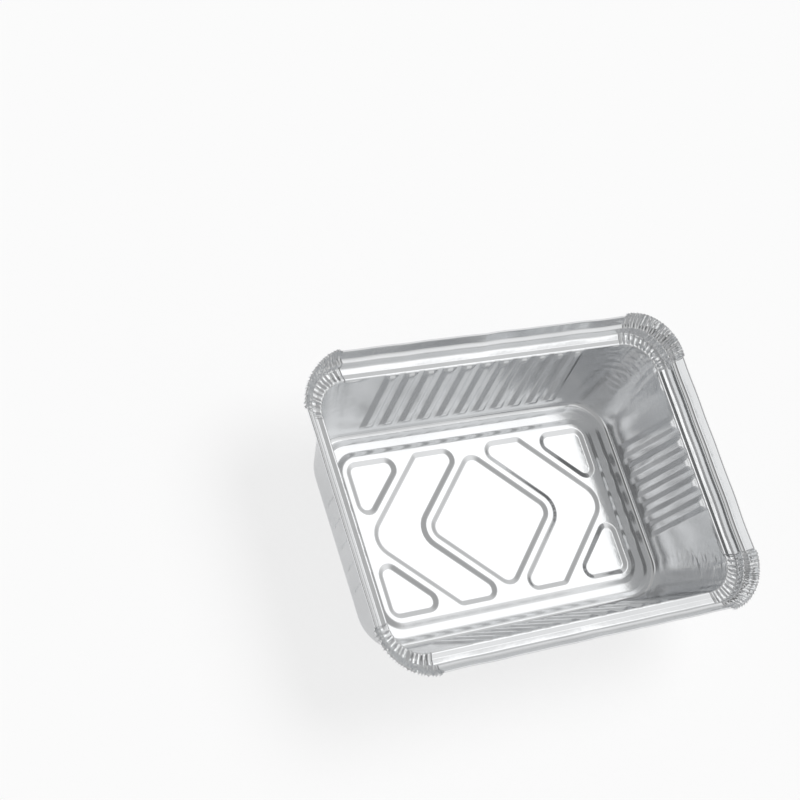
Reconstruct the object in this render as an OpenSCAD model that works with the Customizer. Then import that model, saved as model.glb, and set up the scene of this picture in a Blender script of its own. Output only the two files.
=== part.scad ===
// Foil food container: one sheet of foil stamped into an oblong tray, with an
// embossed base, ribbed walls, corners gathered into pleats and a rolled rim.
// The origin is at the middle of the base, on the surface it stands on.

/* [Body] */
// Length of the mouth between the inner edges of the ledge
mouth_l = 196.4; // [184:0.2:230]
// Width of the mouth between the inner edges of the ledge
mouth_w = 134.8; // [124:0.2:160]
// Corner radius of the mouth
mouth_r = 16.7; // [12:0.1:22]
// Length of the base where the walls meet it
base_l = 175.6; // [172:0.2:182]
// Width of the base where the walls meet it
base_w = 109.4; // [106:0.2:120]
// Corner radius of the base
base_r = 19.6; // [15:0.1:24]
// Height of the ledge above the table
ledge_h = 44; // [30:0.5:60]
// Thickness of the foil as modelled
foil_t = 0.2; // [0.15:0.01:0.3]
// Radius of the bend between the foot and the walls
foot_r = 2; // [1.5:0.1:3]

/* [Rim] */
// Width of the level ledge inside the rim
ledge_w = 6.4; // [5:0.1:9]
// Depth of the shallow dish along the middle of the ledge
ledge_dish = 0.3; // [0:0.05:0.8]
// Height of the upright wall outside the ledge
upright_h = 4.8; // [3:0.1:8]
// Outward lean of the upright from its foot to its top
upright_lean = 0.5; // [0.2:0.1:2]
// Width of the small step above the upright
step_w = 2.3; // [1.5:0.1:4]
// Rise of the small step above the upright
step_h = 0.9; // [0.5:0.1:1.5]
// Width of the level part of the small step
step_level = 1.4; // [0.6:0.1:2]
// Width of the flared flange
flange_w = 1.8; // [1.2:0.1:4]
// Height of the flared flange
flange_h = 3.6; // [2:0.1:6]
// Diameter of the rolled edge
bead_d = 1.1; // [0.8:0.1:1.6]
// Corner radius of the rim at its outer edge
rim_r = 25.5; // [22:0.5:30]

/* [Pleats] */
// Number of pleats gathered into each corner
pleats = 21; // [12:1:24]
// Depth of a pleat from crest to trough
pleat_d = 0.8; // [0.2:0.1:1.2]
// Rise of the flange step where a corner fans out plainly
fan_rise = 1.2; // [0:0.1:1.5]
// Number of soft creases down each corner of the wall
creases = 5; // [3:1:7]
// Depth of the wall creases under the rim
crease_d = 0.7; // [0:0.1:1]

/* [Wall ribs] */
// Number of ribs on each long wall
long_ribs = 11; // [3:2:13]
// Number of ribs on each short wall
short_ribs = 5; // [1:2:7]
// Distance between two ribs
rib_pitch = 10.95; // [9:0.05:11.5]
// Width of a rib's flat crest
rib_crest = 2.7; // [1.5:0.1:3]
// Width of each sloping flank of a rib
rib_flank = 2.7; // [1.5:0.1:3]
// Depth that a rib is pressed into the tray
rib_d = 1.2; // [0.6:0.1:1.6]
// Length of the slope at each end of a rib
rib_end = 3.4; // [2:0.1:5]
// Distance up the wall from the table to where the ribs begin
rib_start = 4.6; // [1:0.2:8]

/* [Base] */
// Half length of the outer step at the middle of its slope
outer_x = 82; // [81:0.1:83]
// Half width of the outer step
outer_y = 51.1; // [49.5:0.1:51.5]
// Corner radius of the outer step
outer_r = 14.7; // [12:0.1:18]
// Half length of the inner step at the middle of its slope
inner_x = 75; // [74:0.1:76]
// Half width of the inner step
inner_y = 44.3; // [43.5:0.1:45]
// Corner radius of the inner step
inner_r = 10.5; // [8:0.1:13]
// Drop of each step
drop = 0.9; // [0.5:0.1:1.2]
// Width of the slope of each step
slope_w = 2.4; // [1.5:0.1:3]
// Depth of the pressed pockets
pocket_d = 0.7; // [0.3:0.1:1]
// Half diagonal of the diamond pocket
diamond = 35.9; // [30:0.1:37]
// Distance out to the inner tip of a chevron pocket
chevron_in = 43.2; // [42:0.1:46]
// Distance out to the outer tip of a chevron pocket
chevron_out = 70.1; // [66:0.1:71]
// Half diagonal of the line along the corner pockets' long sides
corner_line = 77.3; // [75:0.1:82]
// Distance out to the long straight edge of the pockets
pocket_y = 39.1; // [38:0.1:40]
// Distance out to the short straight edge of the corner pockets
pocket_x = 69.9; // [68:0.1:70.5]
// Rounding of the diamond's tips
diamond_r = 6; // [3:0.5:9]
// Rounding of the chevrons' tips
chevron_r = 10.6; // [6:0.1:14]
// Rounding of the ends of the pockets
pocket_r = 4.6; // [3:0.1:5]
// Rounding of the chevrons' blunt outer ends
blunt_r = 3; // [2:0.5:4]

/* [Hidden] */

// Steps of the bend at the foot and of a pocket's rounding
foot_steps = 3;
arc_steps = 4;
// Facets of a corner of the base steps
step_facets = 6;
// Overlaps that let one shape cut or join another cleanly
lap = 0.8;
// How far each corner of the rim is bent out or in: back right, back left, front left, front right
corner_bend = [1.6, -2.2, -0.3, -0.6];
// Uneven strength of the pleats and creases
pleat_gain = rands(0.55, 1.35, 4 * 2 * pleats, 7);
crease_gain = rands(0.4, 1.2, 4 * 2 * creases, 3);

// The rim's section, from the ledge's inner edge out to the end of the flange,
// as steps outward and up
step_start = [ledge_w + upright_lean, upright_h];
flange_start = step_start + [step_w, step_h];
flange_end = flange_start + [flange_w, flange_h];
rim_section = [
    [-lap, 0],
    [ledge_w / 2, -ledge_dish],
    [ledge_w, 0],
    step_start,
    step_start + [step_level, 0],
    flange_start,
    flange_end
];
// Share of the full pleat depth at each point of the section
pleat_share = [0, 0.9, 0.8, 0.7, 0.7, 0.8, 1];
// Share of the corner's bend and of its plain fan at each point
bend_share = [0, 0, 0.1, 0.4, 0.6, 0.7, 1];
fan_share = [0, 0, 0, 0, 0.5, 1, 0];

function unit(v) = v / norm(v);
function left_of(v) = [-v.y, v.x];
function right_of(v) = [v.y, -v.x];
function mix(a, b, share) = a + (b - a) * share;

// Direction across a path at one of its points, long enough to keep an offset's width
function across(path, i) =
    let (
        a = max(i, 1),
        b = min(i, len(path) - 2),
        before = unit(path[a] - path[a - 1]),
        after = unit(path[b + 1] - path[b])
    )
    (right_of(before) + right_of(after)) / (1 + before * after);

// Alternating crests and troughs along a corner, level at both of its ends
function wave(corner, i, count, gain) =
    i == 0 || i == count ? 0 : (i % 2 == 0 ? 1 : -1) * gain[corner * count + i];

// One level loop around the tray, with count facets to each rounded corner;
// the corners are pushed out and up by the wave, by the bend and by the fan
function ring(half, r, z, count, gain = [], push = [0, 0], bend = 0, fan = 0) = [
    for (corner = [0 : 3], i = [0 : count])
        let (
            share = i / count,
            angle = 90 * (corner + share),
            middle = sin(180 * share),
            w = gain == [] ? 0 : wave(corner, i, count, gain),
            reach = r + push.x * w + bend * corner_bend[corner] * middle,
            side = [corner == 0 || corner == 3 ? 1 : -1, corner < 2 ? 1 : -1]
        )
        [
            side.x * (half.x - r) + reach * cos(angle),
            side.y * (half.y - r) + reach * sin(angle),
            z + push.y * w + fan * middle
        ]
];

// A closed solid through loops that have the same number of points
module loft(loops) {
    n = len(loops[0]);
    top = len(loops) - 1;
    sides = [
        for (k = [0 : top - 1], i = [0 : n - 1])
            let (a = k * n + i, b = k * n + (i + 1) % n)
            each [[a, a + n, b], [b, a + n, b + n]]
    ];
    floor_face = [for (i = [0 : n - 1]) i];
    top_face = [for (i = [n - 1 : -1 : 0]) top * n + i];
    polyhedron([for (loop = loops) each loop], concat([floor_face, top_face], sides));
}

// Half length and half width of the walls at a height, and their corner radius
function wall_half(z) =
    mix([base_l, base_w], [mouth_l, mouth_w], (z - foil_t) / (ledge_h - foil_t)) / 2;
function wall_r(z) = mix(base_r, mouth_r, (z - foil_t) / (ledge_h - foil_t));

// Loop around the bowl at height z, grown by g, drawn in by an inset
function bowl_ring(z, g, inset, crease) =
    ring(
        wall_half(z) + [g - inset, g - inset], wall_r(z) + g - inset, z,
        2 * creases, crease_gain, [crease, 0]
    );

// The space inside the walls, grown by g, from the foot to just over the ledge
module bowl(g) {
    bend = foot_r + g;
    fade_h = ledge_h * 0.45;
    loft(concat(
        [
            for (k = [0 : foot_steps])
                let (angle = 90 * k / foot_steps)
                bowl_ring(foil_t - g + bend * (1 - cos(angle)), g, bend * (1 - sin(angle)), 0)
        ],
        [bowl_ring(fade_h, g, 0, 0), bowl_ring(ledge_h + lap / 2, g, 0, crease_d / 2)]
    ));
}

// Loop around the rim through a point of its section, which takes its pleat,
// bend and fan from one of the section's own points
function rim_ring(p, i) =
    ring(
        [mouth_l / 2 + p.x, mouth_w / 2 + p.x],
        mix(mouth_r, rim_r, p.x / flange_end.x),
        ledge_h + p.y,
        2 * pleats,
        pleat_gain,
        -unit(across(rim_section, i)) * pleat_share[i] * pleat_d / 2,
        bend_share[i],
        fan_share[i] * fan_rise
    );

// The space above the ledge and inside the flange, grown by g; the grown one
// has the rolled edge round its outside
module rim_space(g) {
    last = len(rim_section) - 1;
    along = unit(flange_end - flange_start);
    bead_r = bead_d / 2;
    centre = flange_end + right_of(along) * bead_r;
    beyond = flange_end + along * lap;
    edge = g > 0
        ? [
            for (angle = [-120, -45, 20])
                centre + bead_r * (along * cos(angle) - right_of(along) * sin(angle)),
            flange_end,
            [ledge_w, flange_end.y]
        ]
        : [flange_end, beyond, [beyond.x, beyond.y + lap]];
    closing = len(edge) - 1;
    loft(concat(
        [for (i = [0 : last - 1]) rim_ring(rim_section[i] + g * across(rim_section, i), i)],
        [for (k = [0 : closing]) rim_ring(edge[k], k < closing ? last : 0)]
    ));
}

// One rib, lying flat with its length along Y and its crest up
module rib(length) {
    grow = 1 + lap / rib_d;
    skin = 0.01;
    hull() {
        translate([-rib_crest / 2, -length / 2, rib_d - skin])
            cube([rib_crest, length, skin]);
        translate([-rib_crest / 2 - rib_flank * grow, -length / 2 - rib_end * grow, -lap])
            cube([rib_crest + 2 * rib_flank * grow, length + 2 * rib_end * grow, skin]);
    }
}

// A row of ribs standing on one wall, which leans out by run over its height
module rib_row(count, half_base, half_mouth, g) {
    rise = ledge_h - foil_t;
    run = half_mouth - half_base;
    slant = norm([rise, run]);
    for (i = [0 : count - 1])
        translate([
            (i - (count - 1) / 2) * rib_pitch,
            (half_base + half_mouth) / 2,
            foil_t + rise / 2
        ])
            rotate([90 - atan(run / rise), 0, 0])
                translate([0, rib_start / 2, -g])
                    rib(slant - rib_start - 2 * rib_end + lap);
}

// The ribs of all four walls, cut off at the ledge
module ribs(g) {
    intersection() {
        for (turn = [0, 180]) {
            rotate([0, 0, turn])
                rib_row(long_ribs, base_w / 2, mouth_w / 2, g);
            rotate([0, 0, turn + 90])
                rib_row(short_ribs, base_l / 2, mouth_l / 2, g);
        }
        translate([-mouth_l, -mouth_w, -g])
            cube([2 * mouth_l, 2 * mouth_w, ledge_h]);
    }
}

// One rounded corner of an outline whose points run anticlockwise, grown by g
function rounded(before, corner, after, r, g) =
    let (
        a = unit(corner - before),
        b = unit(after - corner),
        turn = atan2(cross(a, b), a * b),
        side = sign(turn),
        centre = corner - a * r * tan(abs(turn) / 2) + side * r * left_of(a),
        start = atan2(a.y, a.x) - 90 * side
    )
    [
        for (k = [0 : arc_steps])
            let (angle = start + turn * k / arc_steps)
            centre + (r + side * g) * [cos(angle), sin(angle)]
    ];

// An outline with its corners rounded, grown by g, at height z
function outline(corners, radii, g, z) =
    let (n = len(corners))
    [
        for (i = [0 : n - 1])
            each [
                for (p = rounded(corners[(i + n - 1) % n], corners[i], corners[(i + 1) % n], radii[i], g))
                    [p.x, p.y, z]
            ]
    ];

// A pocket pressed down into the base panel, with sloping sides
module pocket(corners, radii, panel_z) {
    half = slope_w / 2;
    over = 1 + lap / pocket_d;
    loft([
        outline(corners, radii, -half, panel_z - pocket_d),
        outline(corners, radii, half * (2 * over - 1), panel_z + lap)
    ]);
}

// The pockets of the base: a diamond, two chevrons and four corner triangles
module pockets(panel_z) {
    pocket(
        [[diamond, 0], [0, diamond], [-diamond, 0], [0, -diamond]],
        [diamond_r, diamond_r, diamond_r, diamond_r],
        panel_z
    );
    for (turn = [0, 180])
        rotate([0, 0, turn]) {
            pocket(
                [
                    [chevron_in, 0],
                    [chevron_in - pocket_y, -pocket_y],
                    [chevron_out - pocket_y, -pocket_y],
                    [chevron_out, 0],
                    [chevron_out - pocket_y, pocket_y],
                    [chevron_in - pocket_y, pocket_y]
                ],
                [chevron_r, pocket_r, blunt_r, chevron_r, blunt_r, pocket_r],
                panel_z
            );
            for (flip = [0, 1])
                mirror([0, flip, 0])
                    pocket(
                        [
                            [corner_line - pocket_y, pocket_y],
                            [pocket_x, corner_line - pocket_x],
                            [pocket_x, pocket_y]
                        ],
                        [pocket_r, pocket_r, pocket_r],
                        panel_z
                    );
        }
}

// The base panel raised on two steps inside the foot, as the space under it
module base_panel(g) {
    foot_z = foil_t - g;
    half = slope_w / 2;
    under = 1;
    spread = half + under * slope_w / drop;
    panel_z = foot_z + 2 * drop;
    difference() {
        loft([
            ring([outer_x, outer_y] + [spread, spread], outer_r + spread, foot_z - under, step_facets),
            ring([outer_x, outer_y] - [half, half], outer_r - half, foot_z + drop, step_facets),
            ring([inner_x, inner_y] + [half, half], inner_r + half, foot_z + drop, step_facets),
            ring([inner_x, inner_y] - [half, half], inner_r - half, panel_z, step_facets)
        ]);
        pockets(panel_z);
    }
}

// Everything that the foil encloses, grown by g
module contents(g) {
    difference() {
        union() {
            bowl(g);
            rim_space(g);
        }
        ribs(g);
        base_panel(g);
    }
}

module tray() {
    color("silver")
        difference() {
            contents(foil_t);
            contents(0);
        }
}

tray();
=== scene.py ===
"""Foil food container: the foil sheet, its bright finish and its studio.

Lengths are in millimetres until a mesh is placed, and then in metres.
The tray stands on z = 0 with its length along X and its mouth up.
"""
import math
import bpy
import numpy as np
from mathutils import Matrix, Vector


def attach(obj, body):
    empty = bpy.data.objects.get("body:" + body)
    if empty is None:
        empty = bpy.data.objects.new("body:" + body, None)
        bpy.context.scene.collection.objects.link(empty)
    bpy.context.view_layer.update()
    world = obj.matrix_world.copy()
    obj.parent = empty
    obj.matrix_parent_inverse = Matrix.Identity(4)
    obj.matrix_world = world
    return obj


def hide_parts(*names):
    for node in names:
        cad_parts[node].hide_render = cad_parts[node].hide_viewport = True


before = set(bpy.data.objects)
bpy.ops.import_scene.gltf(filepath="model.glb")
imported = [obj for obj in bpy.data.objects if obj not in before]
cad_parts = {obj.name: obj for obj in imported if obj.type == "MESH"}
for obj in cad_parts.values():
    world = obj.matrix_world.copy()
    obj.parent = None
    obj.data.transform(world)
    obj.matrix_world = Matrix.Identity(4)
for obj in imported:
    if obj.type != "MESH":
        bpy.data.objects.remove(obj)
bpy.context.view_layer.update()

MM = 0.001

# Camera of the photograph, in the tray's own frame
CAMERA_AT = (-534.5, -213.4, 814.1)
CAMERA_TURN = (25.66, -25.38, -19.07)
CAMERA_LENS = 89.49
CAMERA_SENSOR = 36
CAMERA_NEAR = 10

# Driving sizes of the stamped sheet
FOIL_T = 0.12
MOUTH = np.array([196.4, 134.8]) / 2
MOUTH_R = 16.7
BASE = np.array([175.6, 109.4]) / 2
BASE_R = 19.6
LEDGE_H = 44.0
FOOT_R = 1.6
LEDGE_W = 6.4
LEDGE_DISH = 0.32
UPRIGHT_H = 4.8
UPRIGHT_LEAN = 0.5
STEP_W = 2.3
STEP_H = 0.9
FLANGE_W = 1.8
FLANGE_H = 3.6
CURL_R = 0.52
RIM_R = 25.5
RIM_W = LEDGE_W + UPRIGHT_LEAN + STEP_W + FLANGE_W

# Rings of the sheet: angles round the foot, heights up the wall and angles round the rolled edge
FOOT_ANGLES = (0, 22.5, 45, 67.5)
WALL_HEIGHTS = (1.7, 3.2, 4.0, 4.8, 5.7, 6.6, 7.4, 8.2, 14, 21, 28, 35, 39.2, 40.1, 41.0, 42.0, 43.0)
CURL_ANGLES = (62, 34, 6, -22, -50, -85, -120, -160)

# The rim's rings, as points (outward, up) from the corner of its section that each run starts at
INTO_LEDGE = ((-0.14, -0.5), (-0.04, -0.14), (0.25, 0.05), (0.8, 0.04), (1.1, 0.01))
DISH_PLACES = (2.9, 3.25)
DISH_LEVEL = 0.06
OUT_OF_LEDGE = ((-1.2, 0.05), (-0.9, 0.0), (-0.4, 0.06), (-0.15, 0.25))
UP_UPRIGHT = ((0.0, 0.8), (0.2, 2.4), (0.34, 3.9), (0.46, 4.4))
OVER_STEP = ((0.2, -0.08), (0.6, 0.05), (1.4, 0.1), (1.95, 0.3), (2.25, 0.7))
FLANGE_SHARES = (0.08, 0.45, 0.75, 1.0)

# Wall ribs: pitch, flat crest, flank, depth, sloping ends, how far past the mouth, and soft edges
RIB_PITCH = 10.95
RIB_CREST = 2.7
RIB_FLANK = 2.7
RIB_D = 1.25
RIB_END = 3.4
RIB_START = 4.6
RIB_OVER = 0.6
RIB_TURN = 0.45
RIB_SOFT = 0.16
LONG_RIBS = 11
SHORT_RIBS = 5

# Gathered corners: each fold's facets, depth and the ranges that its width and depth are drawn from
PLEATS = 24
PLEAT_FACETS = 4
PLEAT_D = 0.8
PLEAT_WIDTHS = (0.65, 1.35)
PLEAT_DEPTHS = (0.45, 1.3)
CRIMP_FACETS = 8
CRIMP_D = 0.8
CRIMP_DEPTHS = (0.6, 1.4)
CELL_DEPTHS = (0.5, 1.5)
CREST_ROUND = 0.8
FAN_RISE = 1.0
FAN_OUT = 1.0
CORNER_BEND = (1.6, -2.2, -0.3, -0.6)

# How far out on the rim each of those forms begins and is full, and the shares of pleats and crimps
LEDGE_PLEAT = 0.2
LEDGE_PLEAT_SPAN = (0.2, 1.8)
PLEAT_SPAN = (LEDGE_W, 9)
BEND_SPAN = (LEDGE_W - 2, RIM_W)
FAN_SPAN = (LEDGE_W + UPRIGHT_LEAN, 9.2)
FAN_END_SPAN = (9.3, 11.0)
FLARE_SPAN = (8, RIM_W)
PLAIN_CRIMP = 0.15
LEDGE_CRIMP = 0.7
UPRIGHT_CRIMP = 0.6
UPRIGHT_FROM = LEDGE_W - 0.2
SCALLOP_SPAN = (-1.2, 0.3)

# Creases in the wall under each corner, and slow waves along the wall and the rim
CREASES_EACH = 15
CREASE_REACH = 23
CREASE_SHIFT = 1.2
CREASE_SLANT = 0.1
CREASE_FAN = 0.006
CREASE_WIDTHS = (0.7, 1.7)
CREASE_DEPTHS = (0.12, 0.5)
CREASE_FEET = (8, 32)
CREASE_WIDENS = 18
WAVES = 5
WAVE_LENGTHS = (0.6, 1.8)
WAVE_HEIGHTS = (0.4, 1)
WAVER_D = 0.25
WAVER_LENGTH = 30
WAVER_LEAN = 0.3
WAVER_RISE = (4, 20)
WAVER_REACH = (40, 24)
SWAY_D = 0.14
SWAY_LENGTH = 34
SWAY_SPAN = (2, 8)

# Embossed base
STEP_SLOPE = 2.4
STEP_DROP = 0.9
SLOPE_TURN = 0.42
POCKET_D = 0.7
OUTER_STEP = (82.0, 51.1, 14.7)
INNER_STEP = (75.0, 44.3, 10.5)
DIAMOND = 35.9
CHEVRON_IN = 43.2
CHEVRON_OUT = 70.1
CORNER_LINE = 77.3
POCKET_Y = 39.1
POCKET_X = 69.9
DIAMOND_R = 6.0
CHEVRON_R = 10.6
POCKET_R = 4.6
BLUNT_R = 3.0

# Facets along a gathered corner, a step's corner, a pocket's rounding and the plain end of a wall
CORNER_FACETS = PLEAT_FACETS * PLEATS
STEP_FACETS = 14
ARC_FACETS = 8
END_FACETS = 10
END_CLOSING = 1.5

# Shading: faces that meet at less than this angle shade as one curve
SMOOTH_ANGLE = 38

# How worked the foil is, from 0 plain to 1 crumpled, and how far it was drawn, by place
WORKED_BASE = 0.08
WORKED_FOOT = 0.1
WORKED_PLAIN = 0.12
WORKED_WALL = 0.75
WORKED_CORNER = 0.9
WORKED_REACH = (26, 10)
WORKED_RISE = (6, 34)
DRAWN_FOOT = 0.3
DRAWN_RISE = (1, 4)
DRAWN_RIM = 0.2
DRAWN_STEPS = 0.6
DRAWN_POCKETS = 0.1

# Relief in the foil's finish: how fine each noise is per metre, and how high it stands in metres
ROLLING_FINE, ROLLING_H = 2600.0, 0.00000025
SWELL_FINE, SWELL_H = 32.0, 0.00006
CRINKLE_FINE, CRINKLE_H = 420.0, 0.00008
CRUMPLE_FINE, CRUMPLE_H = 190.0, 0.0002
WRINKLE_FINE, WRINKLE_H = 330.0, 0.0009
ROLLING_STRETCH = (0.06, 1.0, 1.0)
WRINKLE_STRETCH = (0.3, 0.3, 1.0)

# Tones of the foil's swells, roughness of plain foil, and what crumples, work and drawing add to it
SWELL_DARK = (0.3, (0.86, 0.87, 0.88))
SWELL_LIGHT = (0.7, (0.92, 0.93, 0.94))
PLAIN_ROUGH = 0.075
CRUMPLE_ROUGH = 0.04
WORKED_ROUGH = 0.04
DRAWN_ROUGH = 0.11

# Studio: its grey level and a long glow, by tone, place and the limits of its soft edges
STUDIO_TONE = 0.39
STRIP_TONE = 0.44
STRIP_MIDDLE = 0.56
STRIP_EDGE = (0.42, 0.06)
STRIP_START = (-0.78, -0.32)
STRIP_FADE = (0.34, 0.5)
STRIP_FADE_SHARE = 0.5

# The softbox in that glow, and the sunlight that comes from it
PANEL_AT = (0.52, 0.204, 0.832)
PANEL_HALF = 0.112
PANEL_SOFT = 0.03
PANEL_TONE = 0.4
PANEL_AHEAD = 0.1
PANEL_LEAST = 0.05
SUN_ENERGY = 1.6
SUN_SPREAD = 40

# A low window on the left, a soft light in front and the dark side that the camera stands on
WINDOW_AT = (-0.967, 0.255, 0)
WINDOW_TONE = 0.48
WINDOW_EDGE = (0.66, 0.86)
WINDOW_TOP = (0.42, 0.52)
FRONT_AT = (0.55, -0.79, 0.27)
FRONT_TONE = 0.28
FRONT_EDGE = (0.9, 0.98)
DARK_AT = (-0.6, 0.33, 0.72)
DARK_SHARE = 0.62
DARK_EDGE = (0.9, 0.975)

# The floor: its size in metres, its paper, and its shares of plain white to the camera and in reflections
FLOOR_SIZE = 6
FLOOR_PAPER = 0.95
FLOOR_WHITE = 0.75
FLOOR_MIRRORED = 0.4

rng = np.random.default_rng(11)


# Directions, blends and uneven curves

def unit(v):
    return v / np.linalg.norm(v)


def blend(x, low, high):
    """0 below low and 1 above high, with a soft turn between."""
    t = np.clip((x - low) / (high - low), 0, 1)
    return t * t * (3 - 2 * t)


def uneven(x, length, seed):
    """A smooth uneven curve of about unit height whose waves are near length."""
    draw = np.random.default_rng(seed)
    total = np.zeros_like(np.asarray(x, float))
    for _ in range(WAVES):
        wave = length * draw.uniform(*WAVE_LENGTHS)
        total += np.sin(2 * math.pi * (x / wave + draw.uniform())) * draw.uniform(*WAVE_HEIGHTS)
    return total / math.sqrt(WAVES)


# Stations round the tray: each ring of the sheet has one point at every station

def rib_stations(count):
    """Places along a wall that catch each rib's crest, flanks and rounded edges."""
    crest, valley = RIB_CREST / 2, RIB_CREST / 2 + RIB_FLANK
    half = [crest - RIB_TURN, crest, crest + RIB_TURN, valley - RIB_TURN, valley, valley + RIB_TURN]
    one = [-RIB_PITCH / 2] + [-h for h in reversed(half)] + half
    centres = (np.arange(count) - (count - 1) / 2) * RIB_PITCH
    return np.concatenate([c + np.array(one) for c in centres] + [[centres[-1] + RIB_PITCH / 2]])


def pleat_shares():
    """Shares of a corner's turn at which the pleats' folds lie, of uneven width."""
    widths = np.repeat(rng.uniform(*PLEAT_WIDTHS, PLEATS), PLEAT_FACETS)
    return np.concatenate([[0], np.cumsum(widths) / widths.sum()])


class Stations:
    """Where each point of a ring lies: in one of four corners or along one of four walls."""

    def __init__(self):
        self.corner, self.share, self.fold = [], [], []
        self.wall, self.along, self.reach = [], [], []
        for k in range(4):
            for j, share in enumerate(pleat_shares()):
                self.add(corner=k, share=share, fold=j)
            ribs = rib_stations(LONG_RIBS if k % 2 == 0 else SHORT_RIBS)
            ends = np.linspace(0, 1, END_FACETS, endpoint=False)[1:] ** END_CLOSING
            for reach in ends:
                self.add(wall=k, along=ribs[0], reach=reach)
            for place in ribs:
                self.add(wall=k, along=place, reach=1.0)
            for reach in ends[::-1]:
                self.add(wall=k, along=ribs[-1], reach=reach)
        self.count = len(self.corner)
        for name in ("corner", "share", "wall", "along", "reach", "fold"):
            setattr(self, name, np.array(getattr(self, name)))
        self.middle = np.where(self.corner >= 0, np.sin(np.pi * np.clip(self.share, 0, 1)), 0)

    def add(self, corner=-1, share=0.0, wall=-1, along=0.0, reach=0.0, fold=-1):
        self.corner.append(corner)
        self.share.append(share)
        self.wall.append(wall)
        self.along.append(along)
        self.reach.append(reach)
        self.fold.append(fold)

    def ring(self, half, r):
        """Points of a ring with these half sizes and corner radius, and its outward directions."""
        points = np.zeros((self.count, 2))
        outward = np.zeros((self.count, 2))
        signs = np.array([[1, 1], [-1, 1], [-1, -1], [1, -1]])
        for k in range(4):
            inside = self.corner == k
            angle = np.radians(90 * (k + self.share[inside]))
            turn = np.stack([np.cos(angle), np.sin(angle)], 1)
            points[inside] = signs[k] * (np.asarray(half) - r) + r * turn
            outward[inside] = turn
            inside = self.wall == k
            angle = np.radians(90 * (k + 1))
            out = np.array([round(math.cos(angle)), round(math.sin(angle))])
            travel = np.array([-out[1], out[0]])
            straight = (half[0] if k % 2 == 0 else half[1]) - r
            deep = half[1] if k % 2 == 0 else half[0]
            end = np.sign(self.along[inside]) * straight
            place = end + (self.along[inside] - end) * self.reach[inside]
            points[inside] = out * deep + travel * place[:, None]
            outward[inside] = out
        return points, outward


stations = Stations()


# The sheet's section from the foot, up the wall, over the rim and round the rolled edge

def wall_half(z):
    return BASE + (MOUTH - BASE) * (z - FOIL_T) / (LEDGE_H - FOIL_T)


def wall_r(z):
    return BASE_R + (MOUTH_R - BASE_R) * (z - FOIL_T) / (LEDGE_H - FOIL_T)


def rim_r(w):
    return MOUTH_R + (RIM_R - MOUTH_R) * w / RIM_W


def rim_path():
    """Points (outward, up) of the rim from the ledge's inner edge to the flange's end."""
    outer = np.array([LEDGE_W, 0])
    top = outer + [UPRIGHT_LEAN, UPRIGHT_H]
    step = top + [STEP_W, STEP_H]
    end = step + [FLANGE_W, FLANGE_H]
    path = [np.array(p) for p in INTO_LEDGE]
    path += [np.array([place, DISH_LEVEL - LEDGE_DISH]) for place in DISH_PLACES]
    path += [outer + p for p in OUT_OF_LEDGE + UP_UPRIGHT]
    path += [top + p for p in OVER_STEP]
    path += [step + (end - step) * t for t in FLANGE_SHARES]
    return path, end, unit(end - step)


def curl_path(end, along):
    """Points round the rolled edge, from the flange's end outward, down and back under."""
    below = np.array([along[1], -along[0]])
    centre = end + below * CURL_R
    return [
        centre + CURL_R * (along * math.cos(math.radians(a)) - below * math.sin(math.radians(a)))
        for a in CURL_ANGLES
    ]


# Forms pressed or gathered into the sheet

def rib_form(up_the_wall, slant):
    """How far the ribs push in at every station, at this distance up the sloping wall."""
    ends = min(up_the_wall - RIB_START, slant + RIB_OVER - up_the_wall) / RIB_END
    along = np.abs((stations.along + RIB_PITCH / 2) % RIB_PITCH - RIB_PITCH / 2)
    across = (RIB_CREST / 2 + RIB_FLANK - along) / RIB_FLANK
    share = np.minimum(across, ends)
    soft = RIB_SOFT
    push = np.where(share < soft, np.maximum(share + soft, 0) ** 2 / (4 * soft), share)
    push = np.where(share > 1 - soft, 1 - np.maximum(1 + soft - share, 0) ** 2 / (4 * soft), push)
    push = np.clip(push, 0, 1)
    return RIB_D * np.where((stations.wall >= 0) & (stations.reach == 1), push, 0)


def fold_wave(facets, depths):
    """Round crests between sharp valleys, one for every so many facets, each of its own depth."""
    wave = np.zeros(stations.count)
    depth = rng.uniform(*depths, (4, CORNER_FACETS // facets + 1))
    for k in range(4):
        inside = np.where(stations.corner == k)[0]
        fold = stations.fold[inside]
        crest = 2 * np.sin(np.pi * (fold % facets) / facets) ** CREST_ROUND - 1
        ends = (fold > 0) & (fold < CORNER_FACETS)
        wave[inside] = crest * depth[k][fold // facets] * ends
    return wave


def corner_distance():
    """Distance along the mouth from the middle of the nearest corner, and that corner."""
    points, _ = stations.ring(MOUTH, MOUTH_R)
    step = np.linalg.norm(np.roll(points, -1, 0) - points, axis=1)
    place = np.concatenate([[0], np.cumsum(step)[:-1]])
    whole = step.sum()
    centres = []
    for k in range(4):
        inside = np.where(stations.corner == k)[0]
        centres.append(place[inside[np.argmin(np.abs(stations.share[inside] - 0.5))]])
    gaps = (place[:, None] - np.array(centres)[None] + whole / 2) % whole - whole / 2
    nearest = np.argmin(np.abs(gaps), 1)
    return gaps[np.arange(stations.count), nearest], nearest


PLEAT_WAVE = fold_wave(PLEAT_FACETS, PLEAT_DEPTHS)
CRIMP_WAVE = fold_wave(CRIMP_FACETS, CRIMP_DEPTHS)
GATHERED = (stations.fold > 0) & (stations.fold < CORNER_FACETS)
FROM_CORNER, NEAREST = corner_distance()


def near_corner(far, near):
    """1 where the nearest corner's middle is within near along the mouth, and 0 beyond far."""
    return blend(-np.abs(FROM_CORNER), -far, -near)


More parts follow.
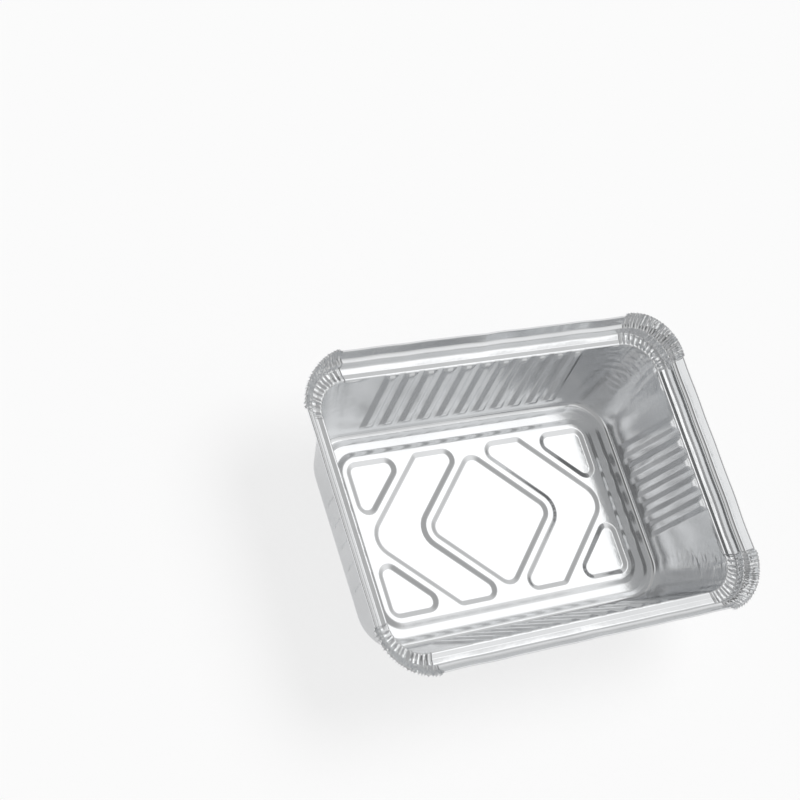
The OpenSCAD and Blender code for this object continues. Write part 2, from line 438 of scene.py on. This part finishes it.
def wall_creases():
    """Ridges that run down each corner's wall from the rim: place, slant, width, depth, foot."""
    creases = []
    for k in range(4):
        for place in np.linspace(-CREASE_REACH, CREASE_REACH, CREASES_EACH):
            creases.append((
                k,
                place + rng.uniform(-CREASE_SHIFT, CREASE_SHIFT),
                rng.uniform(-CREASE_SLANT, CREASE_SLANT) - place * CREASE_FAN,
                rng.uniform(*CREASE_WIDTHS),
                rng.uniform(*CREASE_DEPTHS) * rng.choice([-1, 1]),
                rng.uniform(*CREASE_FEET)
            ))
    return creases


CREASES = wall_creases()


def crease_form(z):
    """How far the corner creases push out at every station at this height."""
    push = np.zeros(stations.count)
    down = LEDGE_H - z
    for k, place, slant, width, depth, foot in CREASES:
        near = (FROM_CORNER - place - slant * down) / (width * (1 + down / CREASE_WIDENS))
        ridge = np.maximum(1 - np.abs(near), 0)
        push += np.where(NEAREST == k, ridge, 0) * depth * blend(z, foot, LEDGE_H)
    return push


def hump(w, low, high):
    """A rounded hump from 0 at low to 1 half way and back to 0 at high."""
    return np.sin(np.pi * np.clip((w - low) / (high - low), 0, 1))


def rim_weights(w, u):
    """Depths of the pleats and crimps and shares of the bend, fan and flare at a point of the rim."""
    upright = hump(u, 0, UPRIGHT_H) * (w > UPRIGHT_FROM)
    crimp = PLAIN_CRIMP + LEDGE_CRIMP * hump(w, 0, LEDGE_W) + UPRIGHT_CRIMP * upright
    pleat = LEDGE_PLEAT * blend(w, *LEDGE_PLEAT_SPAN) + (1 - LEDGE_PLEAT) * blend(w, *PLEAT_SPAN)
    bend = blend(w, *BEND_SPAN)
    fan = blend(w, *FAN_SPAN) * (1 - blend(w, *FAN_END_SPAN))
    flare = blend(w, *FLARE_SPAN)
    return crimp, pleat, bend, fan, flare


def sheet_rings():
    """Every ring of the wall and rim as (stations, 3), and how worked and how drawn the foil is there."""
    rings, worked, drawn = [], [], []
    slant = np.linalg.norm([LEDGE_H - FOIL_T, np.mean(MOUTH - BASE)])
    lean = math.atan2(np.mean(MOUTH - BASE), LEDGE_H - FOIL_T)

    def keep(half, r, z, push_out, push_up, work, draw):
        points, outward = stations.ring(half, r)
        flat = points + outward * push_out[:, None]
        rings.append(np.column_stack([flat, z + push_up]))
        worked.append(work)
        drawn.append(draw)

    nothing = np.zeros(stations.count)
    crumpled = near_corner(*WORKED_REACH)
    for angle in np.radians(FOOT_ANGLES):
        inset = FOOT_R * (1 - math.sin(angle))
        z = FOIL_T + FOOT_R * (1 - math.cos(angle))
        work = WORKED_FOOT + WORKED_FOOT * crumpled
        keep(wall_half(z) - inset, wall_r(z) - inset, z, nothing, nothing, work, DRAWN_FOOT)
    for z in WALL_HEIGHTS:
        up_the_wall = z / math.cos(lean)
        ribs = rib_form(up_the_wall, slant)
        waver = WAVER_D * uneven(FROM_CORNER + WAVER_LEAN * z, WAVER_LENGTH, 5) * blend(z, *WAVER_RISE)
        push = crease_form(z) + waver * near_corner(*WAVER_REACH)
        keep(
            wall_half(z), wall_r(z), z,
            push - ribs * math.cos(lean), ribs * math.sin(lean),
            WORKED_PLAIN + WORKED_WALL * crumpled * blend(z, *WORKED_RISE),
            DRAWN_FOOT + (1 - DRAWN_FOOT) * blend(z, *DRAWN_RISE)
        )
    path, end, along = rim_path()
    scallop = rib_form(slant, slant)
    sway = SWAY_D * uneven(FROM_CORNER, SWAY_LENGTH, 21) * (1 - stations.middle)
    bent = np.where(stations.corner >= 0, np.array(CORNER_BEND)[stations.corner], 0)
    work = np.where(stations.corner >= 0, WORKED_CORNER, WORKED_PLAIN)
    whole = path + curl_path(end, along)
    for i, (w, u) in enumerate(whole):
        before = whole[max(i - 1, 0)]
        after = whole[min(i + 1, len(path) - 1)] if i < len(path) else end + along
        out = unit(after - before) if i < len(path) else along
        normal = np.array([-out[1], out[0]])
        crimp, pleat, bend, fan, flare = rim_weights(w, u)
        cells = rng.uniform(*CELL_DEPTHS, (4, PLEATS + 1))[stations.corner, stations.fold // PLEAT_FACETS]
        size = cells * (PLEAT_D / 2 * pleat * PLEAT_WAVE + CRIMP_D / 2 * crimp * CRIMP_WAVE)
        push_out = normal[0] * size + bend * bent * stations.middle + sway * blend(w, *SWAY_SPAN)
        push_up = normal[1] * size + fan * FAN_RISE * stations.middle + sway * 0.5 * blend(w, *SWAY_SPAN)
        push_out = push_out - scallop * blend(-w, *SCALLOP_SPAN)
        push_out = push_out + FAN_OUT * flare * GATHERED
        keep(MOUTH + w, rim_r(w), LEDGE_H + u, push_out, push_up, work, DRAWN_RIM)
    return rings, worked, drawn


# Outlines of the base's steps and pockets

def rounded(before, corner, after, r, grow):
    """Points round one corner of an outline that runs anticlockwise, grown by grow."""
    a, b = unit(corner - before), unit(after - corner)
    turn = math.atan2(a[0] * b[1] - a[1] * b[0], a @ b)
    side = math.copysign(1, turn)
    centre = corner - a * r * math.tan(abs(turn) / 2) + side * r * np.array([-a[1], a[0]])
    start = math.atan2(a[1], a[0]) - side * math.pi / 2
    angles = start + turn * np.linspace(0, 1, ARC_FACETS + 1)
    return centre + (r + side * grow) * np.column_stack([np.cos(angles), np.sin(angles)])


def pocket_outline(corners, radii, grow):
    n = len(corners)
    corners = [np.array(c, float) for c in corners]
    arcs = [
        rounded(corners[i - 1], corners[i], corners[(i + 1) % n], radii[i], grow)
        for i in range(n)
    ]
    return np.concatenate(arcs)


def step_outline(step, grow):
    half_x, half_y, r = step
    points = []
    for k, (sx, sy) in enumerate([(1, 1), (-1, 1), (-1, -1), (1, -1)]):
        angle = np.radians(90 * (k + np.linspace(0, 1, STEP_FACETS + 1)))
        turn = np.column_stack([np.cos(angle), np.sin(angle)])
        points.append(np.array([sx * (half_x - r), sy * (half_y - r)]) + (r + grow) * turn)
    return np.concatenate(points)


def slope_rows(width, drop):
    """(growth, depth) across a pressed slope, with both of its edges rounded."""
    half = width / 2
    slope = drop / width
    edge = [(half + SLOPE_TURN, 0), (half, slope * SLOPE_TURN / 4), (half - SLOPE_TURN, slope * SLOPE_TURN)]
    return edge + [(0, drop / 2)] + [(-g, drop - d) for g, d in reversed(edge)]


def pocket_shapes():
    """Corners and roundings of the diamond, the two chevrons and the four corner pockets."""
    shapes = [(
        [(DIAMOND, 0), (0, DIAMOND), (-DIAMOND, 0), (0, -DIAMOND)],
        [DIAMOND_R] * 4
    )]
    chevron = [
        (CHEVRON_IN, 0),
        (CHEVRON_IN - POCKET_Y, -POCKET_Y),
        (CHEVRON_OUT - POCKET_Y, -POCKET_Y),
        (CHEVRON_OUT, 0),
        (CHEVRON_OUT - POCKET_Y, POCKET_Y),
        (CHEVRON_IN - POCKET_Y, POCKET_Y)
    ]
    corner = [(CORNER_LINE - POCKET_Y, POCKET_Y), (POCKET_X, CORNER_LINE - POCKET_X), (POCKET_X, POCKET_Y)]
    for sx in (1, -1):
        turned = [(sx * x, sx * y) for x, y in chevron]
        shapes.append((turned, [CHEVRON_R, POCKET_R, BLUNT_R, CHEVRON_R, BLUNT_R, POCKET_R]))
        for sy in (1, -1):
            placed = [(sx * x, sy * y) for x, y in corner]
            if sx * sy < 0:
                placed = placed[::-1]
            shapes.append((placed, [POCKET_R] * 3))
    return shapes


# Building the mesh: a circle is extruded ring by ring, and each ring is then set in its place

def select_none():
    if bpy.context.object and bpy.context.object.mode != "OBJECT":
        bpy.ops.object.mode_set(mode="OBJECT")
    bpy.ops.object.select_all(action="DESELECT")


def band(name, rings):
    """A band of quads through rings of points, made by extruding a circle once for each ring."""
    select_none()
    count = len(rings[0])
    bpy.ops.mesh.primitive_circle_add(vertices=count, radius=1, location=(0, 0, 0))
    piece = bpy.context.object
    piece.name = name
    bpy.ops.object.mode_set(mode="EDIT")
    bpy.ops.mesh.select_all(action="SELECT")
    for _ in rings[1:]:
        bpy.ops.mesh.extrude_region_move(TRANSFORM_OT_translate={"value": (0, 0, 1)})
    bpy.ops.object.mode_set(mode="OBJECT")
    co = np.zeros(len(piece.data.vertices) * 3)
    piece.data.vertices.foreach_get("co", co)
    co = co.reshape(-1, 3)
    start = math.atan2(co[0, 1], co[0, 0])
    turn = np.arctan2(co[:, 1], co[:, 0]) - start
    station = np.round(turn / (2 * math.pi / count)).astype(int) % count
    row = np.round(co[:, 2]).astype(int)
    placed = np.array(rings)[row, station] * MM
    piece.data.vertices.foreach_set("co", placed.ravel())
    mark_numbers(piece, "row", row)
    mark_numbers(piece, "station", station)
    return piece


def mark_numbers(piece, name, values):
    layer = piece.data.attributes.new(name, "FLOAT", "POINT")
    layer.data.foreach_set("value", np.asarray(values, np.float32))


def read_numbers(piece, name):
    values = np.zeros(len(piece.data.vertices), np.float32)
    piece.data.attributes[name].data.foreach_get("value", values)
    return values


def join(pieces):
    select_none()
    for piece in pieces:
        piece.select_set(True)
    bpy.context.view_layer.objects.active = pieces[0]
    bpy.ops.object.join()
    return pieces[0]


def fill_between(piece, wanted):
    """Fills the flat between the open edges whose points are all in wanted."""
    mesh = piece.data
    ends = np.zeros(len(mesh.edges) * 2, int)
    mesh.edges.foreach_get("vertices", ends)
    ends = ends.reshape(-1, 2)
    uses = np.zeros(len(mesh.edges), int)
    loops = np.zeros(len(mesh.loops), int)
    mesh.loops.foreach_get("edge_index", loops)
    np.add.at(uses, loops, 1)
    picked = (uses == 1) & wanted[ends].all(1)
    points = np.zeros(len(mesh.vertices), bool)
    points[ends[picked].ravel()] = True
    mesh.polygons.foreach_set("select", np.zeros(len(mesh.polygons), bool))
    mesh.edges.foreach_set("select", picked)
    mesh.vertices.foreach_set("select", points)
    bpy.ops.object.mode_set(mode="EDIT")
    bpy.ops.mesh.select_mode(type="EDGE")
    bpy.ops.mesh.fill(use_beauty=True)
    bpy.ops.object.mode_set(mode="OBJECT")


def level(points, z):
    return np.column_stack([points, np.full(len(points), z)])


def foil_sheet():
    """The whole tray as one sheet: base, walls, ledge, pleated corners and rolled edge.

    Points marked with the same part, from 1 up, lie round one flat, which is filled in between them.
    """
    rings, worked, drawn = sheet_rings()
    wall = band("foil_tray", rings)
    rows = read_numbers(wall, "row").astype(int)
    order = read_numbers(wall, "station").astype(int)
    worked = np.array([np.broadcast_to(work, stations.count) for work in worked])
    mark_numbers(wall, "worked", worked[rows, order])
    mark_numbers(wall, "drawn", np.array(drawn)[rows])
    mark_numbers(wall, "part", np.where(rows == 0, 1, 0))

    foot, panel = FOIL_T, FOIL_T + 2 * STEP_DROP
    steps = []
    for g, depth in slope_rows(STEP_SLOPE, STEP_DROP):
        steps.append(level(step_outline(OUTER_STEP, g), foot + depth))
    for g, depth in slope_rows(STEP_SLOPE, STEP_DROP):
        steps.append(level(step_outline(INNER_STEP, g), foot + STEP_DROP + depth))
    pieces = [wall, band("steps", steps)]
    rows = read_numbers(pieces[1], "row")
    mark_numbers(pieces[1], "part", np.where(rows == 0, 1, np.where(rows == rows.max(), 2, 0)))
    for i, (corners, radii) in enumerate(pocket_shapes()):
        sides = [
            level(pocket_outline(corners, radii, g), panel - depth)
            for g, depth in slope_rows(STEP_SLOPE, POCKET_D)
        ]
        piece = band("pocket", sides)
        rows = read_numbers(piece, "row")
        mark_numbers(piece, "part", np.where(rows == 0, 2, np.where(rows == rows.max(), 3 + i, 0)))
        pieces.append(piece)
    for i, piece in enumerate(pieces[1:]):
        count = len(piece.data.vertices)
        mark_numbers(piece, "worked", np.full(count, WORKED_BASE))
        mark_numbers(piece, "drawn", np.full(count, DRAWN_STEPS if i == 0 else DRAWN_POCKETS))
    sheet = join(pieces)
    parts = np.round(read_numbers(sheet, "part")).astype(int)
    for part in range(1, parts.max() + 1):
        fill_between(sheet, parts == part)
    return sheet


def finish_sheet(sheet):
    """Turns the sheet's face up, gives it its thickness and shades its curves smooth."""
    select_none()
    sheet.select_set(True)
    bpy.context.view_layer.objects.active = sheet
    bpy.ops.object.mode_set(mode="EDIT")
    bpy.ops.mesh.select_all(action="SELECT")
    bpy.ops.mesh.normals_make_consistent(inside=False)
    bpy.ops.object.mode_set(mode="OBJECT")
    base = min(sheet.data.polygons, key=lambda face: face.center.length)
    if base.normal.z < 0:
        bpy.ops.object.mode_set(mode="EDIT")
        bpy.ops.mesh.select_all(action="SELECT")
        bpy.ops.mesh.flip_normals()
        bpy.ops.object.mode_set(mode="OBJECT")
    thick = sheet.modifiers.new("foil thickness", "SOLIDIFY")
    thick.thickness = FOIL_T * MM
    thick.offset = -1
    bpy.ops.object.modifier_apply(modifier=thick.name)
    bpy.ops.object.shade_smooth_by_angle(angle=math.radians(SMOOTH_ANGLE))
    even = sheet.modifiers.new("flat faces stay flat", "WEIGHTED_NORMAL")
    even.keep_sharp = True
    bpy.ops.object.modifier_apply(modifier=even.name)


# Materials

class Socket:
    """A shader value whose arithmetic adds Math nodes."""

    def __init__(self, tree, link):
        self.tree, self.link = tree, link

    def maths(self, operation, *values):
        node = self.tree.nodes.new("ShaderNodeMath")
        node.operation = operation
        for socket, value in zip(node.inputs, values):
            connect(self.tree, socket, value)
        return Socket(self.tree, node.outputs[0])

    def __add__(self, other):
        return self.maths("ADD", self, other)

    def __sub__(self, other):
        return self.maths("SUBTRACT", self, other)

    def __rsub__(self, other):
        return self.maths("SUBTRACT", other, self)

    def __mul__(self, other):
        return self.maths("MULTIPLY", self, other)

    def __truediv__(self, other):
        return self.maths("DIVIDE", self, other)

    def __abs__(self):
        return self.maths("ABSOLUTE", self)

    def at_least(self, other):
        return self.maths("MAXIMUM", self, other)

    __radd__ = __add__
    __rmul__ = __mul__


def connect(tree, socket, value):
    if isinstance(value, Socket):
        tree.links.new(value.link, socket)
    else:
        socket.default_value = value


class Shader:
    """A node tree with one method that adds any node."""

    def __init__(self, tree):
        self.tree = tree
        tree.nodes.clear()

    def node(self, kind, settings=None, out=0, **values):
        node = self.tree.nodes.new("ShaderNode" + kind)
        for name, value in (settings or {}).items():
            setattr(node, name, value)
        for name, value in values.items():
            connect(self.tree, node.inputs[name.replace("_", " ")], value)
        return Socket(self.tree, node.outputs[out]) if len(node.outputs) else None

    def mix(self, share, first, second):
        node = self.tree.nodes.new("ShaderNodeMixShader")
        for i, value in enumerate((share, first, second)):
            connect(self.tree, node.inputs[i], value)
        return Socket(self.tree, node.outputs[0])

    def ramp(self, fac, *stops):
        node = self.tree.nodes.new("ShaderNodeValToRGB")
        elements = node.color_ramp.elements
        while len(elements) > 1:
            elements.remove(elements[-1])
        for i, (place, tone) in enumerate(stops):
            stop = elements[0] if i == 0 else elements.new(place)
            stop.position = place
            stop.color = (*tone, 1)
        connect(self.tree, node.inputs["Fac"], fac)
        return Socket(self.tree, node.outputs["Color"])


def bright_foil():
    """Bright rolled aluminium: near mirror, faint rolling lines, and crinkles where it was worked."""
    material = bpy.data.materials.new("bright_foil")
    material.use_nodes = True
    sh = Shader(material.node_tree)
    place = sh.node("TexCoord", out="Object")
    worked = sh.node("Attribute", {"attribute_name": "worked"}, out="Fac")
    drawn = sh.node("Attribute", {"attribute_name": "drawn"}, out="Fac")
    stretched = sh.node("Mapping", Vector=place, Scale=ROLLING_STRETCH)
    rolling = sh.node("TexNoise", Vector=stretched, Scale=ROLLING_FINE, Detail=2.0)
    swell = sh.node("TexNoise", Vector=place, Scale=SWELL_FINE, Detail=1.0)
    crinkle = sh.node("TexVoronoi", {"feature": "F1"}, Vector=place, Scale=CRINKLE_FINE)
    crumple = sh.node("TexNoise", Vector=place, Scale=CRUMPLE_FINE, Detail=3.0, Roughness=0.6)
    flow = sh.node("Mapping", Vector=place, Scale=WRINKLE_STRETCH)
    wrinkle = sh.node("TexNoise", Vector=flow, Scale=WRINKLE_FINE, Detail=2.0)
    height = (
        rolling * ROLLING_H
        + swell * SWELL_H
        + worked * crinkle * CRINKLE_H
        + worked * crumple * CRUMPLE_H
        + worked * worked * wrinkle * WRINKLE_H
    )
    bump = sh.node("Bump", Height=height, Strength=1.0, Distance=1.0)
    tone = sh.ramp(swell, SWELL_DARK, SWELL_LIGHT)
    rough = PLAIN_ROUGH + CRUMPLE_ROUGH * crumple + WORKED_ROUGH * worked + DRAWN_ROUGH * drawn
    surface = sh.node("BsdfPrincipled", Base_Color=tone, Metallic=1.0, Roughness=rough, Normal=bump)
    sh.node("OutputMaterial", Surface=surface)
    return material


def studio_floor_white():
    """A floor of white paper, partly plain white to the camera and less so in reflections."""
    material = bpy.data.materials.new("studio_floor_white")
    material.use_nodes = True
    sh = Shader(material.node_tree)
    paper = sh.node("BsdfDiffuse", Color=(FLOOR_PAPER, FLOOR_PAPER, FLOOR_PAPER, 1))
    white = sh.node("Emission", Color=(1, 1, 1, 1), Strength=1.0)
    mirrored = sh.node("LightPath", out="Is Glossy Ray") + sh.node("LightPath", out="Is Transmission Ray")
    seen = sh.node("LightPath", out="Is Camera Ray") * FLOOR_WHITE + mirrored * FLOOR_MIRRORED
    surface = sh.mix(seen, paper, white)
    sh.node("OutputMaterial", Surface=surface)
    return material


def studio_world():
    """A grey studio: a softbox in a long glow, a low window, a light in front and a dark camera side."""
    world = bpy.data.worlds.new("studio")
    world.use_nodes = True
    bpy.context.scene.world = world
    sh = Shader(world.node_tree)
    place = sh.node("TexCoord", out="Generated")

    def toward(direction):
        node = sh.tree.nodes.new("ShaderNodeVectorMath")
        node.operation = "DOT_PRODUCT"
        sh.tree.links.new(place.link, node.inputs[0])
        node.inputs[1].default_value = tuple(direction)
        return Socket(sh.tree, node.outputs["Value"])

    def soft_step(value, low, high):
        return sh.node(
            "MapRange", {"interpolation_type": "SMOOTHSTEP"},
            Value=value, From_Min=low, From_Max=high
        )

    def softbox(direction, half, soft):
        """1 inside a square panel with soft edges that faces the tray from a direction."""
        ahead = unit(np.array(direction))
        across = unit(np.cross((0, 0, 1), ahead))
        depth = toward(ahead)
        inside = soft_step(depth, 0, PANEL_AHEAD)
        for side in (across, np.cross(ahead, across)):
            offset = abs(toward(side) / depth.at_least(PANEL_LEAST))
            inside = inside * (1.0 - soft_step(offset, half, half + soft))
        return inside

    panel = softbox(PANEL_AT, PANEL_HALF, PANEL_SOFT)
    strip = soft_step(abs(toward((1, 0, 0)) - STRIP_MIDDLE), *STRIP_EDGE)
    strip = strip * soft_step(toward((0, 1, 0)), *STRIP_START)
    strip = strip * (1.0 - STRIP_FADE_SHARE * soft_step(toward((0, 1, 0)), *STRIP_FADE))
    window = soft_step(toward(WINDOW_AT), *WINDOW_EDGE) * (1.0 - soft_step(toward((0, 0, 1)), *WINDOW_TOP))
    dark = soft_step(toward(unit(np.array(DARK_AT))), *DARK_EDGE)
    front = soft_step(toward(unit(np.array(FRONT_AT))), *FRONT_EDGE)
    tone = STUDIO_TONE + STRIP_TONE * strip + WINDOW_TONE * window + FRONT_TONE * front
    tone = tone * (1.0 - DARK_SHARE * dark)
    studio = sh.node("Background", Color=(1, 1, 1, 1), Strength=tone + PANEL_TONE * panel)
    sh.node("OutputWorld", Surface=studio)


def build_stage():
    select_none()
    bpy.ops.mesh.primitive_plane_add(size=FLOOR_SIZE, location=(0, 0, 0))
    floor = bpy.context.object
    floor.name = "studio_floor"
    floor.data.materials.append(studio_floor_white())
    bpy.ops.object.light_add(type="SUN", location=(0, 0, 1))
    softbox = bpy.context.object
    softbox.name = "softbox_light"
    softbox.rotation_euler = Vector(PANEL_AT).to_track_quat("Z", "Y").to_euler()
    softbox.data.energy = SUN_ENERGY
    softbox.data.angle = math.radians(SUN_SPREAD)
    softbox.visible_glossy = False
    studio_world()
    bpy.context.scene.view_settings.view_transform = "Standard"


def build_camera():
    select_none()
    bpy.ops.object.camera_add(
        location=[v * MM for v in CAMERA_AT],
        rotation=[math.radians(a) for a in CAMERA_TURN]
    )
    camera = bpy.context.object
    camera.data.lens = CAMERA_LENS
    camera.data.sensor_width = CAMERA_SENSOR
    camera.data.clip_start = CAMERA_NEAR * MM
    bpy.context.scene.camera = camera


build_camera()
build_stage()
tray = foil_sheet()
finish_sheet(tray)
tray.data.materials.clear()
tray.data.materials.append(bright_foil())
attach(tray, "root")
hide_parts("tray")
